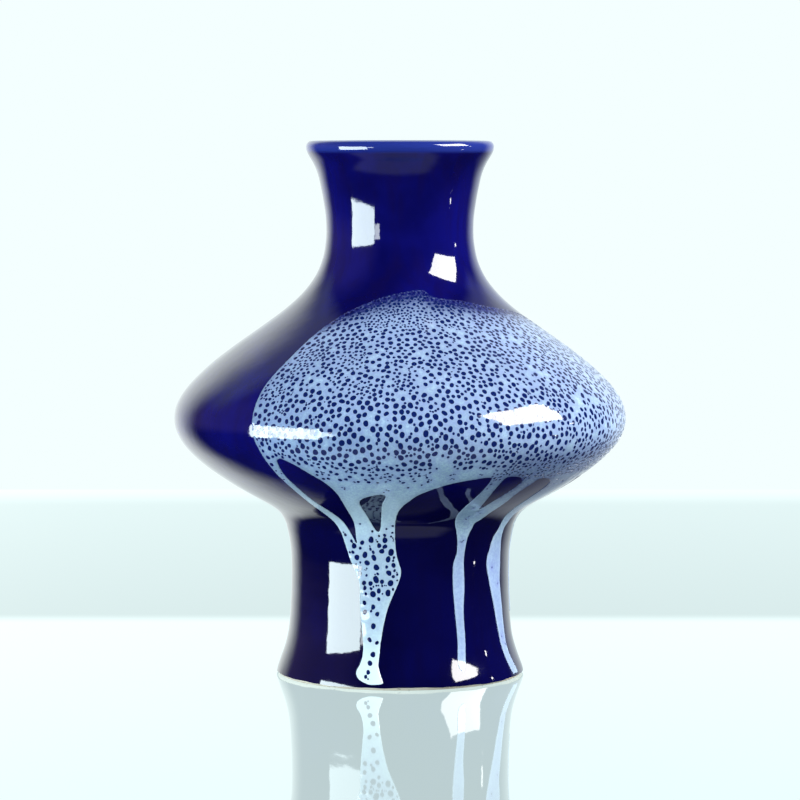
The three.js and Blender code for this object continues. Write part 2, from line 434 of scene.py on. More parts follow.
OUTER_DEPTH = 0.1 * MM
FOOT_REACH = 5 * MM
LIP_REACH = 8 * MM
GLAZE_RAG = 0.35 * MM
GLAZE_ROLL = 0.18 * MM
ROLL_HEIGHT = 0.8 * MM
LIP_BAND = 4.6 * MM
LIP_BLEND = 1.3 * MM
LIP_THINNING = 0.85
# Painted shade below the belly: where it starts, how far it reaches and how strong it is.
SHADE_TOP = 96 * MM
SHADE_REACH = 34 * MM
SHADE_SHARE = 0.72
CREST_DROP = 0.6 * MM
CREST_REACH = 0.2 * MM
WALL_STEP = 0.25 * MM

blue_outline = cad_profile("blue_glaze")
liner_outline = cad_profile("liner_glaze")
crest_index = int(np.argmax(np.round(blue_outline[:, 1] / SAME_POINT)))
blue_crest_edge = blue_outline[crest_index:crest_index + 2, 0].min()
liner_crest_edge = liner_outline[np.argmax(liner_outline[:, 1]), 0]
crest_radius = (blue_crest_edge + liner_crest_edge) / 2
outer_wall = fine_profile(blue_outline[:crest_index + 1], WALL_STEP)


def wall_radius(height):
    return np.interp(height, outer_wall[:, 1], outer_wall[:, 0])


def smooth(value):
    """0 to 1 with level ends."""
    value = np.clip(value, 0, 1)
    return value * value * (3 - 2 * value)


def settled(height):
    """1 on the open wall, falling to 0 at the glaze line and the lip, which stay true."""
    from_foot = smooth((height - GLAZE_LINE) / FOOT_REACH)
    from_lip = smooth((RIM_HEIGHT - height) / LIP_REACH)
    return from_foot * from_lip


def on_outside(radius, height):
    return radius > wall_radius(height) - OUTER_DEPTH


def cobalt_form(azimuth, radius, height):
    """The coat's wobble outside, and its uneven, rolled lower edge."""
    outside = on_outside(radius, height)
    radius = radius - np.where(outside, wobble(azimuth, height) * settled(height), 0)
    near_foot = 1 - smooth((height - GLAZE_LINE) / FOOT_REACH)
    rag = 0.5 * np.sin(5 * azimuth + 1.1) + 0.3 * np.sin(13 * azimuth) + 0.2 * np.sin(29 * azimuth + 2)
    height = height + GLAZE_RAG * rag * near_foot
    roll = np.where(outside, smooth((height - GLAZE_LINE) / ROLL_HEIGHT) - 1, 0)
    return radius + GLAZE_ROLL * roll, height


def thin_at_lip(vertices):
    """The cobalt drew back from the lip, so it is thinner and paler there."""
    return smooth((vertices[:, 2] - RIM_HEIGHT + LIP_BAND) / LIP_BLEND) * LIP_THINNING


def painted_shade_low(vertices):
    """Painted shade: the cobalt is made darker low down, below the belly, where the belly shades it."""
    return SHADE_SHARE * smooth((SHADE_TOP - vertices[:, 2]) / SHADE_REACH)


def close_crest(outline):
    """Brings a coat's edge on the lip's crest to where the two coats meet."""
    outline = outline.copy()
    at_crest = outline[:, 1] > RIM_HEIGHT - CREST_DROP
    near_crest = np.abs(outline[:, 0] - crest_radius) < CREST_REACH
    outline[at_crest & near_crest, 0] = crest_radius
    return outline


# ---- the wall unrolled: u is the azimuth, v the height, and shapes keep their angles ----

wall_steps = np.hypot(*np.diff(outer_wall, axis=0).T)
wall_v = np.r_[0, np.cumsum(wall_steps * 2 / (outer_wall[1:, 0] + outer_wall[:-1, 0]))]
wall_tangent = np.gradient(outer_wall, wall_v, axis=0)
wall_tangent /= np.hypot(*wall_tangent.T)[:, None]


def unrolled(points):
    """[azimuth in degrees, height in mm] rows as (u, v)."""
    points = np.asarray(points, float)
    return np.stack([
        np.radians(points[:, 0]),
        np.interp(points[:, 1] * MM, outer_wall[:, 1], wall_v),
    ], axis=-1)


def radius_at(v):
    return np.interp(v, wall_v, outer_wall[:, 0])


def height_at(v):
    return np.interp(v, wall_v, outer_wall[:, 1])


def on_wall(plane, raised=0.0):
    """Points of the cobalt coat's surface, raised off it."""
    azimuth, v = plane[:, 0], plane[:, 1]
    height = height_at(v)
    radius = radius_at(v) - wobble(azimuth, height) * settled(height)
    tangent = np.stack([np.interp(v, wall_v, wall_tangent[:, i]) for i in (0, 1)], axis=-1)
    return placed(azimuth, radius + raised * tangent[:, 1], height - raised * tangent[:, 0])


def layered_noise(plane, layers):
    """Smooth noise over the unrolled wall, the sum of layers of a scale, a strength and a seed."""
    return np.array([
        sum(
            strength * noise.noise(Vector((u * scale, v * scale, seed)))
            for scale, strength, seed in layers
        )
        for u, v in plane
    ])


def outward(ring):
    """The unit normal to a closed ring at each of its points."""
    heading = np.roll(ring, -1, 0) - np.roll(ring, 1, 0)
    return np.stack([heading[:, 1], -heading[:, 0]], axis=-1) / np.hypot(*heading.T)[:, None]


EDGE_SPACING = 0.45 * MM
CURVE_STEPS = 16
EDGE_RAG = 0.09 * MM
RAG_LAYERS = ((60, 1.0, 3.7), (150, 0.6, 9.1))
RAGGED_FROM = 134 * MM
RAGGED_RISE = 6 * MM
RAGGED_TIMES = 3.5


def closed_curve(points):
    """A smooth closed curve through unrolled points, in equal steps on the wall, its edge uneven.

    The edge is more uneven at the pour's top, where the coat ran out thin.
    """
    before, after = np.roll(points, 1, 0), np.roll(points, -1, 0)
    beyond = np.roll(points, -2, 0)
    t = (np.arange(CURVE_STEPS) / CURVE_STEPS)[None, :, None]
    start, lead = points[:, None], (after - before)[:, None] / 2
    end, trail = after[:, None], (beyond - points)[:, None] / 2
    curve = (
        (2 * t**3 - 3 * t**2 + 1) * start + (t**3 - 2 * t**2 + t) * lead
        + (3 * t**2 - 2 * t**3) * end + (t**3 - t**2) * trail
    ).reshape(-1, 2)
    looped = np.vstack([curve, curve[:1]])
    lengths = np.hypot(*np.diff(looped, axis=0).T) * radius_at(curve[:, 1])
    along = np.r_[0, np.cumsum(lengths)]
    count = round(along[-1] / EDGE_SPACING)
    at = np.arange(count) * along[-1] / count
    even = np.stack([np.interp(at, along, looped[:, i]) for i in (0, 1)], axis=-1)
    at_top = smooth((height_at(even[:, 1]) - RAGGED_FROM) / RAGGED_RISE)
    push = layered_noise(even, RAG_LAYERS) * (EDGE_RAG * (1 + RAGGED_TIMES * at_top))
    return even + outward(even) * (push / radius_at(even[:, 1]))[:, None]


# ---- the pour's outline, as [azimuth in degrees, height in mm] ----

POUR_TOP = [
    (-38.3, 122), (-37, 127.5), (-34.5, 132.3), (-29, 136.8), (-20.6, 140.4), (-9.8, 143.3),
    (1.2, 144.9), (13.4, 145.7), (21, 143), (36.2, 141.6), (49.8, 139.6), (66.5, 137.8),
    (77.4, 136.5), (88, 134), (96, 128), (100, 120), (102, 111), (101.5, 102), (100, 94), (97, 86),
    (94, 79), (93, 72),
]
SIDE_RUN = [
    (92, 64), (90.6, 56), (90.2, 44), (90, 32), (89.3, 25.5), (87.5, 23.2), (85.6, 25.5), (85, 34),
    (84.6, 46), (83.8, 56), (82.4, 64), (80, 71), (77, 75.5), (73, 76), (69, 72.5), (67.5, 66),
]
OUTER_RUN = [
    (66.6, 60.5), (63.6, 56.8), (63.1, 53), (64.4, 47.5), (64.9, 43), (64.7, 37), (66.7, 27.5),
    (68, 17.5), (68.5, 9.5), (71.5, 2.6), (68, 2.2), (65.2, 2.6), (62.4, 10), (60.7, 18), (57.4, 28),
    (53.1, 38), (50.9, 44.5), (52.6, 49.5), (54.4, 54), (58, 57.6), (57, 63), (54.5, 66.5), (53, 70.5),
]
INLET = [
    (52.8, 74.2), (51.4, 76.6), (47.6, 78.2), (44, 78.2), (43.2, 76.5), (41.5, 72.7), (41.8, 69.1),
    (41.5, 65), (40.4, 62.1), (37.6, 60.3),
]
INNER_RUN = [
    (37.3, 58.5), (35.7, 54.8), (34.8, 47), (35.4, 37), (34.7, 28), (35, 17), (33.6, 9.5), (32.2, 6.4),
    (31, 5.8), (29.7, 6.8), (29, 9.3), (30.2, 17.3), (29.2, 28), (28.2, 38), (28.3, 45), (30, 49.5),
    (29.6, 54.3), (28.4, 57.5), (26.3, 60.9), (24.7, 64.3), (24.6, 67.5), (25.9, 73.5), (26.4, 79),
    (25.2, 80.3),
]
BETWEEN_RUNS = [
    (21.9, 80), (14.2, 78.2), (6.6, 74.4), (3.2, 71.3), (0.6, 68.4), (-1, 65.5), (-1.9, 62.5),
]
MAIN_RUN = [
    (-2.3, 58), (-2.1, 52), (-1.2, 48), (0.5, 43.8), (0.2, 41), (-1.5, 37.6), (-5.8, 30.3),
    (-8.1, 24), (-9.5, 17.7), (-10.2, 11.6), (-10.2, 8.4), (-8.2, 4), (-8, 2.6), (-12, 2.1),
    (-15.5, 2.4), (-19.5, 4), (-21, 6.4), (-19.4, 9.6), (-18.6, 14.6), (-20, 23.6), (-21, 31.3),
    (-21.2, 38), (-23.6, 43), (-26.8, 48), (-29.7, 56.2), (-33.2, 64), (-34.7, 73.5), (-35.9, 81.3),
]
POUR_LEFT = [(-36.9, 88.5), (-38.3, 95.3), (-39.3, 103.5), (-40, 112), (-39.4, 117)]
POUR = [
    *POUR_TOP, *SIDE_RUN, *OUTER_RUN, *INLET, *INNER_RUN, *BETWEEN_RUNS, *MAIN_RUN, *POUR_LEFT,
]

# Places inside the pour that it left bare. A thin film of white lies over the third.
LEFT_WINDOW = [
    (-33, 85.6), (-32.4, 86.9), (-31, 87.1), (-27.3, 84.4), (-22.9, 79.8), (-21.2, 77.4), (-20.2, 74.5),
    (-20.1, 71), (-21.4, 63.5), (-22.1, 56), (-22, 54), (-22.8, 54.2), (-27, 61.6), (-31, 69.5),
    (-32.7, 77), (-33.3, 81),
]
RIGHT_WINDOW = [
    (30.6, 79.4), (32, 80.2), (34.5, 80), (37, 78.8), (37.8, 76.5), (34.9, 70), (33.6, 67.3),
    (32.5, 66.6), (31.6, 68.5), (30.4, 74.5),
]
FILM = [
    (-13.6, 71), (-7.8, 73.8), (-4.6, 73.4), (-6.4, 69.3), (-9, 60.5), (-10.6, 58), (-13, 61),
    (-13.9, 65.7),
]


def inside(points, ring):
    """Which points lie inside a closed ring, by counting the ring's crossings to their right."""
    order = np.argsort(points[:, 1])
    x, y = points[order].T
    odd = np.zeros(len(points), bool)
    following = np.roll(ring, -1, 0)
    firsts = np.searchsorted(y, np.minimum(ring[:, 1], following[:, 1]))
    lasts = np.searchsorted(y, np.maximum(ring[:, 1], following[:, 1]))
    for (x0, y0), (x1, y1), first, last in zip(ring, following, firsts, lasts):
        if first < last:
            odd[first:last] ^= x[first:last] < x0 + (y[first:last] - y0) * (x1 - x0) / (y1 - y0)
    result = np.zeros(len(points), bool)
    result[order] = odd
    return result


outline = closed_curve(unrolled(POUR))
windows = [closed_curve(unrolled(ring)) for ring in (LEFT_WINDOW, RIGHT_WINDOW, FILM)]


def inside_pour(points):
    """Which points lie in the pour's outline and in none of its windows."""
    result = inside(points, outline)
    for ring in windows:
        result &= ~inside(points, ring)
    return result


def tree_of(points):
    """A tree that finds the nearest of the points, or those within a distance."""
    tree = KDTree(len(points))
    for i, point in enumerate(points):
        tree.insert(point, i)
    tree.balance()
    return tree


def halfway(ring):
    """A ring with a point added in the middle of each side."""
    return np.vstack([ring, (ring + np.roll(ring, -1, 0)) / 2])


edge_tree = tree_of(on_wall(np.vstack([halfway(ring) for ring in (outline, *windows)])))

# ---- what the pour does to the cobalt coat's colour ----

BED_REACH = 3 * MM
FILM_SPREAD = 1.5


def open_face(vertices):
    """Each vertex of the cobalt coat in the plane of the unrolled wall, and whether it is outside."""
    azimuth = np.arctan2(vertices[:, 0], -vertices[:, 1])
    height = vertices[:, 2]
    radius = np.hypot(vertices[:, 0], vertices[:, 1]) + wobble(azimuth, height) * settled(height)
    plane = np.stack([azimuth, np.interp(height, outer_wall[:, 1], wall_v)], axis=-1)
    return plane, on_outside(radius, height)


def film_over(vertices):
    """1 where a thin veil of white lies on the cobalt, between the two heads of the main run."""
    plane, outside = open_face(vertices)
    film = unrolled(FILM)
    wider = film.mean(0) + FILM_SPREAD * (film - film.mean(0))
    return inside(plane, wider) * outside


def under_pour(vertices):
    """1 on the cobalt that lies under the pour: there a trace of white tints it in the craters."""
    plane, outside = open_face(vertices)
    covered = inside_pour(plane) & outside
    from_edge = np.zeros(len(vertices))
    for i in np.flatnonzero(covered):
        from_edge[i] = edge_tree.find(vertices[i])[2]
    return smooth(from_edge / BED_REACH)


# ---- the turned coats and the clay ----

# Among the cobalt coat's vertex values is a painted shade below the belly.
blue_coat = turned(
    "blue_glaze_coat", fine_profile(close_crest(blue_outline)), cobalt,
    cobalt_form, {"thin": thin_at_lip, "film": film_over, "painted_shade": painted_shade_low, "bed": under_pour},
)
liner_coat = turned(
    "liner_glaze_coat", fine_profile(close_crest(liner_outline)), liner,
    None, {"thin": thin_at_lip},
)
clay_pieces = {
    node: turned(piece, fine_profile(cad_profile(node)), clay)
    for node, piece in (
        ("clay_pedestal", "foot_clay"),
        ("clay_lower_bowl", "bowl_clay"),
        ("clay_shoulder", "shoulder_clay"),
        ("clay_neck", "neck_clay"),
    )
}

# ---- the craters ----

# Fields of craters: azimuths in degrees, heights in mm, crater radii in mm, how many spots are tried,
# and the clear space between two craters in mm. Earlier fields take their places first.
CRATER_FIELDS = [
    ((-25, 2), (33, 57), (0.85, 1.25), 240, 0.12),
    ((-21, -9), (5, 33), (0.65, 1.05), 130, 0.7),
    ((-8, 1), (36, 50), (0.34, 0.66), 160, 0.06),
    ((-25, 2), (33, 61), (0.34, 0.66), 260, 0.14),
    ((-35, -27), (117, 124), (0.50, 0.74), 500, 0.03),
    ((-20, -12), (119, 125), (0.50, 0.74), 500, 0.03),
    ((-14, -8), (111, 115), (0.54, 0.78), 200, 0.03),
    ((-2, 5), (113, 120), (0.56, 0.82), 360, 0.03),
    ((-39, -34), (108, 114), (0.52, 0.76), 300, 0.03),
    ((-16, 13), (133, 143), (0.42, 0.68), 3600, 0.03),
    ((-26, 80), (86, 112), (0.92, 1.16), 620, 0.05),
    ((-40, -10), (98, 134), (0.74, 1.02), 2600, 0.03),
    ((-10, 34), (98, 128), (0.76, 1.04), 1800, 0.03),
    ((-40, 100), (84, 140), (0.70, 0.98), 9000, 0.03),
    ((-40, 100), (84, 142), (0.50, 0.70), 7500, 0.03),
    ((-40, 96), (132, 147), (0.42, 0.66), 8000, 0.03),
    ((-40, 102), (84, 140), (0.32, 0.44), 900, 0.10),
    ((-24, 8), (79, 87), (0.50, 0.85), 240, 0.25),
    ((26, 98), (79, 93), (0.40, 0.66), 2200, 0.06),
    ((-36, 92), (75, 84), (0.34, 0.56), 160, 0.6),
    ((26, 38), (50, 68), (0.24, 0.38), 26, 0.5),
    ((-32, -24), (44, 60), (0.30, 0.60), 16, 0.5),
    ((51, 68), (8, 58), (0.24, 0.42), 22, 0.6),
]
CRATER_SEED = 20
CRATER_STRETCH = (0.02, 0.20)
CRATER_WAVE = (0.0, 0.08)
LEAN_SPREAD = 0.5
CRATER_EDGE_MARGIN = 0.34 * MM
TOP_EDGE_MARGIN = 0.12 * MM
PARTNER_CHANCE = 0.50
PARTNER_SIZE = (0.5, 1.0)
PARTNER_GAP = 0.035 * MM
PARTNER_REACH = 1.2 * PARTNER_GAP
EVEN_SHARE = 0.95
NARROW_EXTRA = 0.25
GATHERING = 1.2
CROWD_LAYERS = ((9, 1.0, 5.5), (24, 0.8, 1.5))
RING_BASE = 4.5
RING_PER_MM = 7
RING_POINTS = (7, 13)

# The side of a search cell on the unrolled wall: two craters' reach where the wall is narrowest.
CELL = 3 * MM / (40 * MM)


def crater_shape(angle, stretch, lean, wave, phase):
    """How far a crater's edge is from its centre in a direction, as a share of its radius."""
    return 1 + stretch * np.cos(2 * (angle - lean)) + wave * np.cos(3 * angle - phase)


def crater_reach(radius, stretch, lean, wave, phase):
    """The furthest that a crater's edge can be from its centre."""
    return radius * (1 + stretch + wave)


class Craters:
    """Irregular round holes in the pour, none touching another or the pour's edge."""

    def __init__(self, seed, edges):
        self.random = np.random.default_rng(seed)
        self.edges = edges
        self.rows = []
        self.cells = {}

    def form(self, radius):
        """A crater's radius, stretch, the way it is stretched, its waviness and the wave's phase."""
        stretch = self.random.uniform(*CRATER_STRETCH)
        lean = math.pi / 2 + self.random.normal(0, LEAN_SPREAD)
        wave = self.random.uniform(*CRATER_WAVE)
        return radius, stretch, lean, wave, self.random.uniform(0, TURN)

    def near(self, u, v):
        """The numbers of the craters in the cells round a point."""
        cell_u, cell_v = int(u // CELL), int(v // CELL)
        for du in (-1, 0, 1):
            for dv in (-1, 0, 1):
                yield from self.cells.get((cell_u + du, cell_v + dv), ())

    def add(self, u, v, form, gap):
        """Puts a crater there if it keeps clear of the others and of the pour's edge."""
        reach = crater_reach(*form)
        scale = float(radius_at(v))
        for i in self.near(u, v):
            other_u, other_v, *_, other_reach = self.rows[i]
            if math.hypot(u - other_u, v - other_v) * scale < reach + other_reach + gap:
                return False
        place = on_wall(np.array([[u, v]]))[0]
        margin = TOP_EDGE_MARGIN if place[2] > RAGGED_FROM else CRATER_EDGE_MARGIN
        if self.edges.find(place)[2] < reach + margin:
            return False
        self.cells.setdefault((int(u // CELL), int(v // CELL)), []).append(len(self.rows))
        self.rows.append((u, v, *form, reach))
        return True

    def scatter(self, azimuths, heights, radii, tries, gap):
        """Fills one field: spots are thinned by a slow noise, and many craters get partners."""
        low, high = unrolled([(azimuths[0], heights[0]), (azimuths[1], heights[1])])
        spots = self.random.uniform(low, high, (tries, 2))
        share = (radius_at(spots[:, 1]) / outer_wall[:, 0].max()) ** 2 + NARROW_EXTRA
        share *= EVEN_SHARE + GATHERING * layered_noise(spots, CROWD_LAYERS)
        spots = spots[(self.random.random(tries) < share) & inside_pour(spots)]
        for u, v in spots:
            form = self.form(self.random.uniform(*radii) * MM)
            fits = self.add(u, v, form, gap * MM)
            while fits and self.random.random() < PARTNER_CHANCE:
                partner = self.form(form[0] * self.random.uniform(*PARTNER_SIZE))
                heading = self.random.uniform(0, TURN)
                apart = crater_reach(*form) + crater_reach(*partner) + PARTNER_REACH
                apart /= float(radius_at(v))
                u, v = u + apart * math.cos(heading), v + apart * math.sin(heading)
                form = partner
                fits = self.add(u, v, form, PARTNER_GAP)
        self.table = np.array(self.rows)

    def ring(self, row, offset):
        """A closed ring round one crater, offset outwards from its edge."""
        u, v, radius, *shape, _ = row
        count = int(np.clip(round(radius / MM * RING_PER_MM + RING_BASE), *RING_POINTS))
        angle = np.arange(count) * TURN / count
        reach = (radius * crater_shape(angle, *shape) + offset) / float(radius_at(v))
        return np.stack([u + reach * np.cos(angle), v + reach * np.sin(angle)], axis=-1)

    def hold(self, points, which):
        """Whether each point lies inside the crater of that number."""
        u, v, radius, *shape, _ = self.table[which].T
        across, up = points[:, 0] - u, points[:, 1] - v
        edge = radius * crater_shape(np.arctan2(up, across), *shape)
        return np.hypot(across, up) * radius_at(v) < edge

    def clear_of(self, points):
        """Which points lie in no crater."""
        tree = tree_of(on_wall(points))
        free = np.ones(len(points), bool)
        for number, centre in enumerate(on_wall(self.table[:, :2])):
            near = [i for _, i, _ in tree.find_range(centre, self.table[number, -1])]
            if near:
                free[near] &= ~self.hold(points[near], np.full(len(near), number))
        return free


craters = Craters(CRATER_SEED, edge_tree)
for field in CRATER_FIELDS:
    craters.scatter(*field)

# ---- the poured coat's mesh ----

TUCK = 0.06 * MM
UNDER_DEPTH = 0.12 * MM
LATTICE = 1.8 * MM
LATTICE_CLEARANCE = 0.6 * MM
LATTICE_CLOSEST = 0.45 * LATTICE

# Rings of points beside the pour's edges and craters: how far off, and how close together.
EDGE_OFFSETS = ((0.2 * MM, 0.12 * MM), (0.6 * MM, 0.12 * MM))
CRATER_OFFSETS = ((0.035 * MM, 0.12 * MM), (0.45 * MM, 0.55 * MM))
EDGE_CLEARANCE = 0.8
CRATER_CLEARANCE = 0.75

EDGE_HEIGHT = 0.46 * MM
EDGE_WIDTH = 0.34 * MM
CRATER_RIM = 0.11 * MM
RIM_WIDTH = 0.035 * MM
CRATER_SWELL = 0.10 * MM
SWELL_WIDTH = 2.0 * MM


def lattice_points():
    """A triangular lattice over the whole pour, finer where the wall is narrower."""
    low, high = outline.min(0), outline.max(0)
    step = LATTICE / outer_wall[:, 0].max()
    grid = []
    for i, v in enumerate(np.arange(low[1], high[1], step * math.sqrt(0.75))):
        row = np.arange(low[0] + step / 2 * (i % 2), high[0], step)
        grid.append(np.stack([row, np.full_like(row, v)], axis=-1))
    return np.vstack(grid)


def edge_rings(offset):
    """Points beside the pour's edges, on both sides: those off the pour are dropped later."""
    beside = []
    for ring in (outline, *windows):
        reach = outward(ring) * (offset / radius_at(ring[:, 1]))[:, None]
        beside += [ring + reach, ring - reach]
    return np.vstack(beside)


def spread(groups, boundary_tree):
    """Points from each group that keep clear of the boundary and of points taken before."""
    taken = np.zeros((0, 2))
    for points, clearance, closest in groups:
        points = points[inside_pour(points)]
        points = points[craters.clear_of(points)]
        places = on_wall(points)
        cells = np.floor(places / closest).astype(int)
        first = np.sort(np.unique(cells, axis=0, return_index=True)[1])
        before = tree_of(on_wall(taken))
        fitting = [
            i for i in first
            if boundary_tree.find(places[i])[2] > clearance
            and (len(taken) == 0 or before.find(places[i])[2] > closest)
        ]
        taken = np.vstack([taken, points[fitting]])
    return taken


crater_rings = [craters.ring(row, 0) for row in craters.rows]
pour_rings = [outline, *windows, *crater_rings]
boundary = np.vstack(pour_rings)
rim_size = sum(len(ring) for ring in (outline, *windows))
crater_of = np.full(len(boundary), -1)
crater_of[rim_size:] = np.repeat(np.arange(len(crater_rings)), [len(ring) for ring in crater_rings])


def boundary_sides():
    """The sides of every ring of the boundary, as pairs of its points' numbers."""
    sides = []
    start = 0
    for ring in pour_rings:
        count = len(ring)
        sides += [(start + i, start + (i + 1) % count) for i in range(count)]
        start += count
    return sides


sides_of_pour = boundary_sides()


def triangles(inner):
    """Triangles over the pour through its boundary and inner points, its craters left out."""
    points = np.vstack([boundary, inner])
    plane = [Vector(point) for point in points]
    made, _, made_faces, origins, *_ = delaunay_2d_cdt(plane, sides_of_pour, [], 0, 1e-9, True)
    stray = [tuple(made[i]) for i, ids in enumerate(origins) if not ids]
    if stray:
        raise ValueError(f"the pour's edges cross near {stray[:5]}")
    faces = np.array([ids[0] for ids in origins])[np.array(made_faces)]
    centres = points[faces].mean(1)
    keep = inside_pour(centres)
    owners = np.append(crater_of, np.full(len(inner), -1))[faces]
    alone = np.flatnonzero((owners[:, 0] >= 0) & (owners == owners[:, :1]).all(1))
    keep[alone[craters.hold(centres[alone], owners[alone, 0])]] = False
    return faces[keep]


def bridges(faces):
    """Sides of triangles that join two boundary points and aren't on the boundary."""
    rim = {tuple(sorted(side)) for side in sides_of_pour}
    sides = np.sort(np.vstack([faces[:, [0, 1]], faces[:, [1, 2]], faces[:, [2, 0]]]))
    sides = np.unique(sides[sides[:, 1] < len(boundary)], axis=0)
    return [side for side in sides.tolist() if tuple(side) not in rim]


def top_and_underside():
    """Inner points and triangles of the coat's top, then of its underside.

    The two share the boundary's points, so the top gets a point on each bridge: then no triangle or
    side is in both, and the coat closes into one solid.
    """
    boundary_tree = tree_of(on_wall(np.vstack([halfway(ring) for ring in pour_rings])))
    lattice = (lattice_points(), LATTICE_CLEARANCE, LATTICE_CLOSEST)
    groups = [
        (edge_rings(offset), EDGE_CLEARANCE * offset, closest) for offset, closest in EDGE_OFFSETS
    ]
    for offset, closest in CRATER_OFFSETS:
        beside = np.vstack([craters.ring(row, offset) for row in craters.rows])
        groups.append((beside, CRATER_CLEARANCE * offset, closest))
    top_inner = spread([*groups, lattice], boundary_tree)
    under_inner = spread([lattice], boundary_tree)
    top_faces = triangles(top_inner)
    while crossing := bridges(top_faces):
        top_inner = np.vstack([top_inner, boundary[crossing].mean(1)])
        top_faces = triangles(top_inner)
    return top_inner, top_faces, under_inner, triangles(under_inner)


def coat_height(to_edge, to_crater):
    """How far the coat stands off the cobalt, rounded up from its edge and its craters."""
    from_edge = EDGE_HEIGHT * (1 - np.exp(-to_edge / EDGE_WIDTH))
    from_crater = CRATER_RIM * np.minimum(to_crater / RIM_WIDTH, 1)
    from_crater += CRATER_SWELL * smooth(to_crater / SWELL_WIDTH)
    return np.minimum(from_edge, from_crater) - TUCK


# Where the coat fades into the cobalt: along its top edge, and low on the right of the belly.
FADE_REACH = 5.0 * MM
FADE_FROM = 127 * MM
FADE_RISE = 12 * MM
FADE_STRENGTH = 1.25
FADE_END = 20 * MM
EDGE_FADE = 0.35
LOW_EDGE_REACH = 0.3
THIN_FROM = math.radians(20)
THIN_TURN = 0.3
THIN_TOP = 94 * MM
THIN_TOP_BLEND = 9 * MM
THIN_FOOT = 66 * MM
THIN_FOOT_BLEND = 8 * MM
THIN_SHARE = 0.42


def faded(azimuth, height, to_edge):
    """How far the coat fades into the cobalt, from 0 to 1."""
    at_top = smooth((height - FADE_FROM) / FADE_RISE)
    reach = FADE_REACH * (LOW_EDGE_REACH + (1 - LOW_EDGE_REACH) * at_top)
    fade = (EDGE_FADE + at_top) * np.exp(-to_edge / reach) * FADE_STRENGTH
    thin = smooth((azimuth - THIN_FROM) / THIN_TURN)
    thin *= smooth((THIN_TOP - height) / THIN_TOP_BLEND)
    thin *= smooth((height - THIN_FOOT) / THIN_FOOT_BLEND)
    return np.minimum(fade * smooth((height - WAIST) / FADE_END) + THIN_SHARE * thin, 1)


# Where the coat is violet: round its craters, and down the runs on the right.
PIT_REACH = 0.75 * MM
PIT_SHARE = 0.55
RUN_VIOLET = 0.48
RUN_BLEND = 8 * MM
MAIN_RUN_RIGHT = math.radians(8)
MAIN_RUN_BLEND = 0.05


def on_main_run(azimuth):
    """1 on the main run's side of the pour and 0 on the right."""
    return smooth((MAIN_RUN_RIGHT - azimuth) / MAIN_RUN_BLEND)


def violet(azimuth, height, to_crater):
    """How violet the coat is, from 0 to 1."""
    below_waist = smooth((WAIST - height) / RUN_BLEND)
    round_craters = PIT_SHARE * np.exp(-to_crater / PIT_REACH)
    return round_craters + RUN_VIOLET * (1 - on_main_run(azimuth)) * below_waist


# Where the coat is paler: a painted light low on the main run, under the belly where it lies in shade,
# and thick and pale glaze where it gathered, most in the run's drip, and on low edges.
# Painted light low on the main run: its strength, and where it starts and blends in.
PAINTED_LIGHT_SHARE = 0.30
PAINTED_LIGHT_TOP = WAIST + 24 * MM
PAINTED_LIGHT_BLEND = 16 * MM
DRIP_SHARE = 0.60
DRIP_TOP = 27 * MM
DRIP_BLEND = 20 * MM
ROLL_SHARE = 0.22
ROLL_TOP = WAIST + 30 * MM
ROLL_BLEND = 20 * MM
ROLL_REACH = 0.55 * MM


def gathered_and_painted_light(azimuth, height, to_edge):
    """How pale the coat is, from 0 to 1: a painted light low on the main run, and thick glaze in its
    drip and on low edges.
    """
    # painted light: the main run made paler under the belly, where it lies in shade
    painted_light_and_drip = PAINTED_LIGHT_SHARE * smooth((PAINTED_LIGHT_TOP - height) / PAINTED_LIGHT_BLEND)
    painted_light_and_drip += DRIP_SHARE * smooth((DRIP_TOP - height) / DRIP_BLEND)
    rolled = ROLL_SHARE * np.exp(-to_edge / ROLL_REACH) * smooth((ROLL_TOP - height) / ROLL_BLEND)
    return np.minimum(painted_light_and_drip * on_main_run(azimuth) + rolled, 1)


def pour_mesh():
    """The poured coat as one closed solid: vertices, triangles and vertex values."""
    top_inner, top_faces, under_inner, under_faces = top_and_underside()
    plane = np.vstack([boundary, top_inner])
    azimuth, height = plane[:, 0], height_at(plane[:, 1])
    places = on_wall(plane)
    crater_tree = tree_of(on_wall(np.vstack([halfway(ring) for ring in crater_rings])))
    to_edge = np.array([edge_tree.find(place)[2] for place in places])
    to_crater = np.array([crater_tree.find(place)[2] for place in places])
    to_edge[:rim_size] = 0
    to_crater[rim_size:len(boundary)] = 0

    top = on_wall(plane, coat_height(to_edge, to_crater))
    under = on_wall(under_inner, -UNDER_DEPTH)
    shift = len(top_inner)
    under_faces = np.where(under_faces < len(boundary), under_faces, under_faces + shift)
    faces = np.vstack([top_faces, under_faces[:, ::-1]])
    below = np.zeros(len(under))
    values = {
        "fade": np.r_[faded(azimuth, height, to_edge), below],
        "pitted": np.r_[violet(azimuth, height, to_crater), below],
        # the coat's paleness includes a painted light on the main run under the belly
        "gathered_and_painted_light": np.r_[gathered_and_painted_light(azimuth, height, to_edge), below],
    }
    return np.vstack([top, under]), faces.tolist(), values


pour_vertices, pour_faces, pour_values = pour_mesh()
white_coat = add_object("white_glaze_coat", pour_vertices, pour_faces, white, pour_values)

# ---- pieces and bodies ----

for piece, node, slot in (
    (blue_coat, "blue_glaze", "cobalt_glaze"),
    (liner_coat, "liner_glaze", "liner_glaze"),
    (white_coat, "white_glaze", "white_glaze"),
    *((piece, node, "bare_stoneware") for node, piece in clay_pieces.items()),
):
    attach(piece, "root")
    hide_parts(node)

# ---- the table, the light and the camera ----

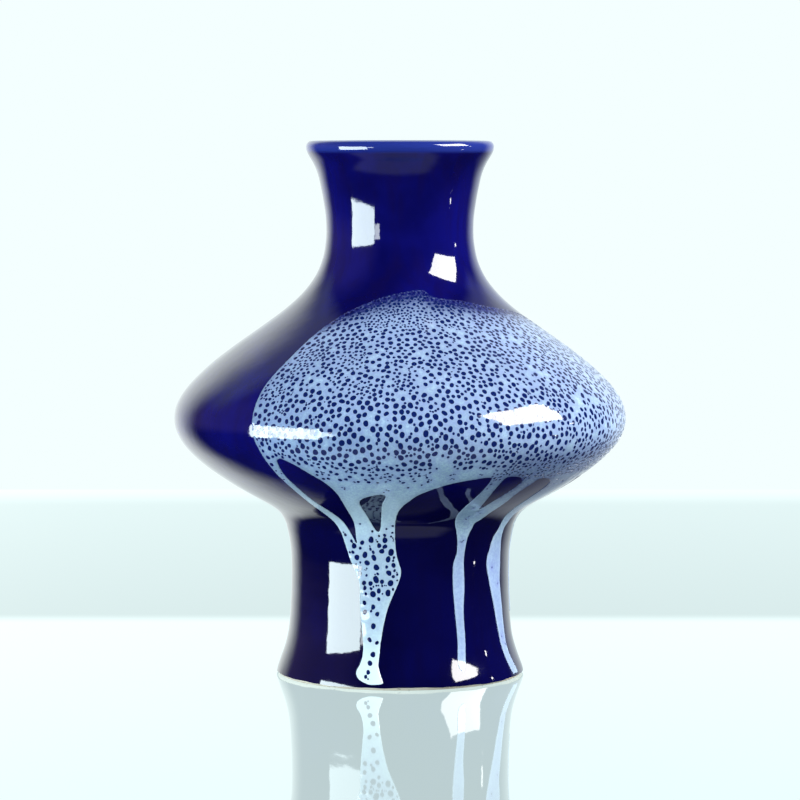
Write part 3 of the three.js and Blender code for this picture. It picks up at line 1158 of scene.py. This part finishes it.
TABLE_SIDE = 3.2
TABLE_FRONT = -3.0
TABLE_BACK = 0.66
TABLE_FADE = 0.09
BAND_START = 0.127
BAND_FULL = 0.157
TABLE_NEAR = (0.50, 0.62, 0.62)
TABLE_BAND = (0.25, 0.34, 0.34)
TABLE_FAR = (0.40, 0.49, 0.49)

floor_mesh = bpy.data.meshes.new("table")
floor_mesh.from_pydata(
    [
        (-TABLE_SIDE, TABLE_FRONT, 0), (TABLE_SIDE, TABLE_FRONT, 0),
        (TABLE_SIDE, TABLE_BACK, 0), (-TABLE_SIDE, TABLE_BACK, 0),
    ],
    [], [(0, 1, 2, 3)],
)
floor = bpy.data.objects.new("table", floor_mesh)
link(floor)


def table_material():
    """A pale glossy table top that gives its own even light, a little dimmer beyond the vase."""
    material, shader = new_material("pale_table", roughness=0.025)
    nodes = Nodes(material.node_tree)
    split = nodes.add("ShaderNodeSeparateXYZ")
    nodes.join(nodes.position(), split.inputs[0])
    band = nodes.ramp(split.outputs["Y"], BAND_START, BAND_FULL)
    far = nodes.ramp(split.outputs["Y"], TABLE_BACK - TABLE_FADE, TABLE_BACK)
    tone = nodes.mix(band, TABLE_NEAR, TABLE_BAND)
    nodes.join(nodes.mix(far, tone, TABLE_FAR), shader.inputs["Emission Color"])
    shader.inputs["Emission Strength"].default_value = 1.0
    shader.inputs["Base Color"].default_value = (0, 0, 0, 1)
    return material


floor.visible_glossy = False
floor_mesh.materials.append(table_material())


# The room, by direction from the vase: x to the right, y to the back and z up. A patch is a colour
# and, for each axis that bounds it, where it starts and where it is full.
ROOM_SEEN = (0.905, 1.0, 1.0)
ROOM_DARK = (0.020, 0.022, 0.035)
FRONT_PATCHES = (
    ((0.34, 0.36, 0.44), {"Z": (-0.54, -0.66), "X": (0.66, 0.46), "Y": (-0.11, -0.27)}),
    ((0.18, 0.14, 0.30), {"X": (-0.45, -0.85), "Z": (-0.25, 0.05)}),
    ((0.36, 0.40, 0.54), {"Z": (0.30, 0.62), "Y": (0.30, 0.52)}),
)
BACK_WALL = (0.97, 1.08, 1.08)
BACK_PATCHES = (
    ((1.44, 1.54, 1.50), {"X": (0.0, -0.45)}),
    ((0.36, 0.40, 0.46), {"Z": (-0.12, -0.42), "X": (-0.25, 0.20)}),
)
BACK_SPAN = {"Y": (0.56, 0.86)}


def in_span(nodes, axes, span):
    """1 in the directions inside the span, 0 outside it, and soft between."""
    amount = None
    for axis, (start, full) in span.items():
        ramp = nodes.ramp(axes[axis], start, full)
        amount = nodes.times(amount, ramp) if amount else ramp
    return amount


def patched(nodes, axes, colour, patches):
    """A colour with soft-edged patches over it."""
    for tint, span in patches:
        colour = nodes.mix(in_span(nodes, axes, span), colour, tint)
    return colour


def world():
    """The room as the glaze reflects it, and the plain pale backdrop that the camera sees.

    The room is dark in front, with a pale floor patch below, a dim wall at the left, a pale ceiling
    and a white wall behind, which is brighter at the left and dim low on the right.
    """
    made = bpy.data.worlds.new("studio")
    made.use_nodes = True
    made.node_tree.nodes.clear()
    nodes = Nodes(made.node_tree)
    split = nodes.add("ShaderNodeSeparateXYZ")
    nodes.join(nodes.add("ShaderNodeTexCoord").outputs["Generated"], split.inputs[0])
    front = patched(nodes, split.outputs, ROOM_DARK, FRONT_PATCHES)
    back = patched(nodes, split.outputs, BACK_WALL, BACK_PATCHES)
    reflected = nodes.add("ShaderNodeBackground")
    behind = in_span(nodes, split.outputs, BACK_SPAN)
    nodes.join(nodes.mix(behind, front, back), reflected.inputs["Color"])
    seen = nodes.add("ShaderNodeBackground")
    nodes.feed(seen.inputs["Color"], ROOM_SEEN)
    chooser = nodes.add("ShaderNodeMixShader")
    nodes.join(nodes.add("ShaderNodeLightPath").outputs["Is Camera Ray"], chooser.inputs[0])
    nodes.join(reflected.outputs[0], chooser.inputs[1])
    nodes.join(seen.outputs[0], chooser.inputs[2])
    output = nodes.add("ShaderNodeOutputWorld")
    nodes.join(chooser.outputs[0], output.inputs["Surface"])
    return made


bpy.context.scene.world = world()

LAMP_DISTANCE = 2.0
DAYLIGHT = (0.82, 0.97, 1.0)
PANE_LIGHT = (0.88, 0.97, 1.0)
LAMPLIGHT = (1.0, 0.99, 0.96)

# Name, azimuth and elevation in degrees, width and height in metres, radiance and colour.
LAMPS = (
    ("left_window", -60, -1.5, 1.42, 0.98, 20, DAYLIGHT),
    ("left_pane", -36, 1, 0.26, 0.40, 12, PANE_LIGHT),
    ("right_glint", 96, 9.5, 0.06, 0.07, 26, LAMPLIGHT),
    ("low_glint", 84, -13, 0.06, 0.06, 26, LAMPLIGHT),
    ("right_box", 74, 33, 1.34, 1.02, 22, LAMPLIGHT),
)


def soft_box(name, azimuth, elevation, width, height, radiance, colour):
    """An area light seen from the vase at that azimuth and elevation, facing it."""
    lamp = bpy.data.lights.new(name, "AREA")
    lamp.shape = "RECTANGLE"
    lamp.size = width
    lamp.size_y = height
    lamp.energy = radiance * math.pi * width * height
    lamp.color = colour
    light = bpy.data.objects.new(name, lamp)
    turn, rise = math.radians(azimuth), math.radians(elevation)
    middle = Vector((0, 0, RIM_HEIGHT / 2))
    across, up = math.cos(rise), math.sin(rise)
    towards = Vector((math.sin(turn) * across, -math.cos(turn) * across, up))
    light.location = middle + towards * LAMP_DISTANCE
    light.rotation_euler = towards.to_track_quat("Z", "Y").to_euler()
    light.visible_camera = False
    link(light)


for lamp_row in LAMPS:
    soft_box(*lamp_row)

# The camera stands just above the level of the rim. Its lens and sensor are in mm.
CAMERA_DISTANCE = 1.300
CAMERA_HEIGHT = RIM_HEIGHT + 0.005
CAMERA_PITCH = math.radians(-4.494)
CAMERA_LENS = 156.27
CAMERA_SENSOR = 36

camera_data = bpy.data.cameras.new("camera")
camera_data.lens = CAMERA_LENS
camera_data.sensor_width = CAMERA_SENSOR
camera = bpy.data.objects.new("camera", camera_data)
camera.location = (0, -CAMERA_DISTANCE, CAMERA_HEIGHT)
camera.rotation_euler = (math.pi / 2 + CAMERA_PITCH, 0, 0)
link(camera)
bpy.context.scene.camera = camera
bpy.context.scene.view_settings.view_transform = "Standard"
